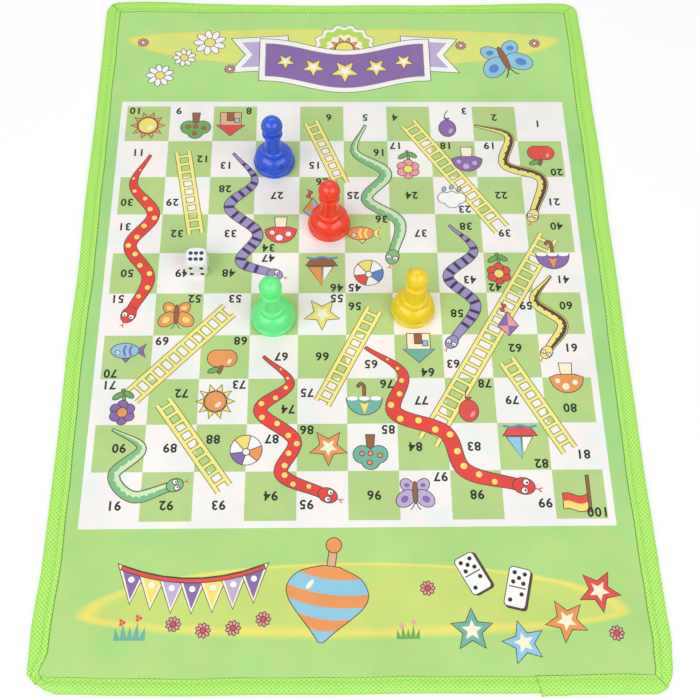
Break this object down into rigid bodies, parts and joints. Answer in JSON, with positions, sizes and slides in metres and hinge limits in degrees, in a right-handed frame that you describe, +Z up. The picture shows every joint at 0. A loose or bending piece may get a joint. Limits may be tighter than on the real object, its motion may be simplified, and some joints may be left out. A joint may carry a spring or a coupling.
{
  "type": "snakes and ladders board",
  "caption": "Soft snakes and ladders mat, a printed numbered grid with a sewn tape round its edge, with plastic pawns and a die standing on it.",
  "frame": {"origin": "on the table, under the middle of the mat", "axes": "+X to the player's right, +Y along the mat away from the player, +Z up"},
  "size_m": [0.297, 0.4204, 0.0418],
  "materials": {
    "printed_cloth": "printed non-woven cloth",
    "felt": "needled felt",
    "backing_cloth": "plain non-woven cloth",
    "tape": "embossed non-woven tape",
    "blue_plastic": "glossy moulded",
    "red_plastic": "glossy moulded",
    "green_plastic": "glossy moulded",
    "yellow_plastic": "glossy moulded",
    "white_plastic": "glossy with painted pips"
  },
  "bodies": {
    "mat": {"printed_sheet": "printed_cloth", "core": "felt", "backing_sheet": "backing_cloth", "binding_front_left": "tape", "binding_front_right": "tape", "binding_right": "tape", "binding_back": "tape", "binding_left": "tape"},
    "blue_pawn": {"pawn_blue": "blue_plastic"},
    "red_pawn": {"pawn_red": "red_plastic"},
    "green_pawn": {"pawn_green": "green_plastic"},
    "yellow_pawn": {"pawn_yellow": "yellow_plastic"},
    "die": {"die": "white_plastic"}
  },
  "joints": [
    {"name": "blue_pawn_lift", "type": "slide", "parent": "mat", "child": "blue_pawn", "axis": [0, 0, 1], "range_m": [0, 0.06]},
    {"name": "red_pawn_lift", "type": "slide", "parent": "mat", "child": "red_pawn", "axis": [0, 0, 1], "range_m": [0, 0.06]},
    {"name": "green_pawn_lift", "type": "slide", "parent": "mat", "child": "green_pawn", "axis": [0, 0, 1], "range_m": [0, 0.06]},
    {"name": "yellow_pawn_lift", "type": "slide", "parent": "mat", "child": "yellow_pawn", "axis": [0, 0, 1], "range_m": [0, 0.06]},
    {"name": "die_lift", "type": "slide", "parent": "mat", "child": "die", "axis": [0, 0, 1], "range_m": [0, 0.06]}
  ]
}
